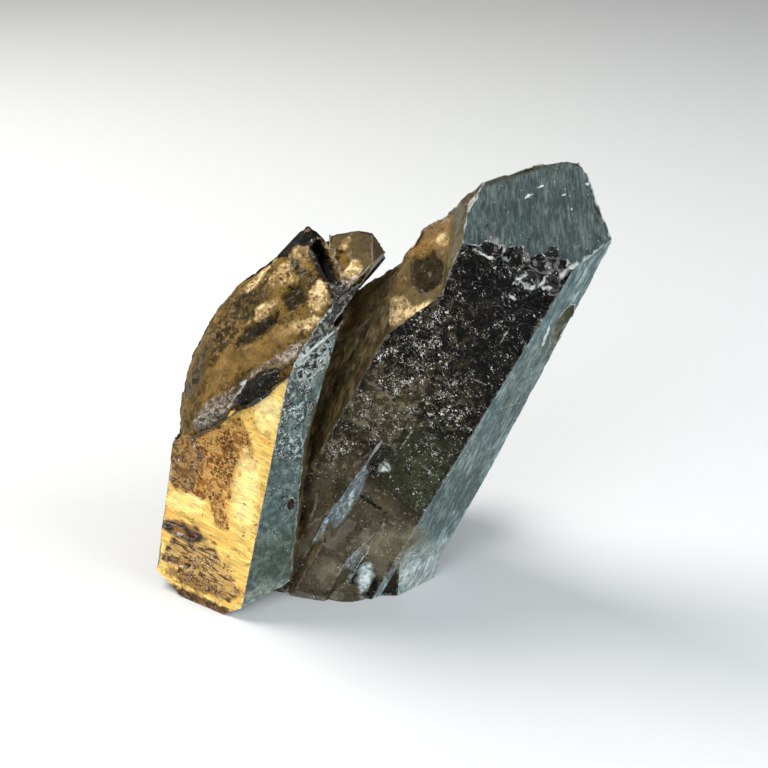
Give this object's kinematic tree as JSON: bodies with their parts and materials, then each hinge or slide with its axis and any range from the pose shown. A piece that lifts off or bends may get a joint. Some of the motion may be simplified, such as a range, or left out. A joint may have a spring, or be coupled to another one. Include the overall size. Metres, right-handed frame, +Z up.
{
  "type": "smoky quartz cluster",
  "caption": "Cluster of grown-together smoky quartz crystals: a tall leaning prism with a flat frosted end, a shorter prism under a rounded broken cap, and small points, on a flat base.",
  "frame": {"origin": "middle of the footprint box, on the flat base", "axes": "+Z up from the base, +X the way the tall crystal leans, -Y the front with the widest side faces"},
  "size_m": [0.0854, 0.0484, 0.0855],
  "materials": {
    "smoky_quartz": "natural crystal faces, from glassy to frosted, smoky brown inside"
  },
  "bodies": {
    "root": {"quartz_cluster": "smoky_quartz"}
  },
  "joints": []
}
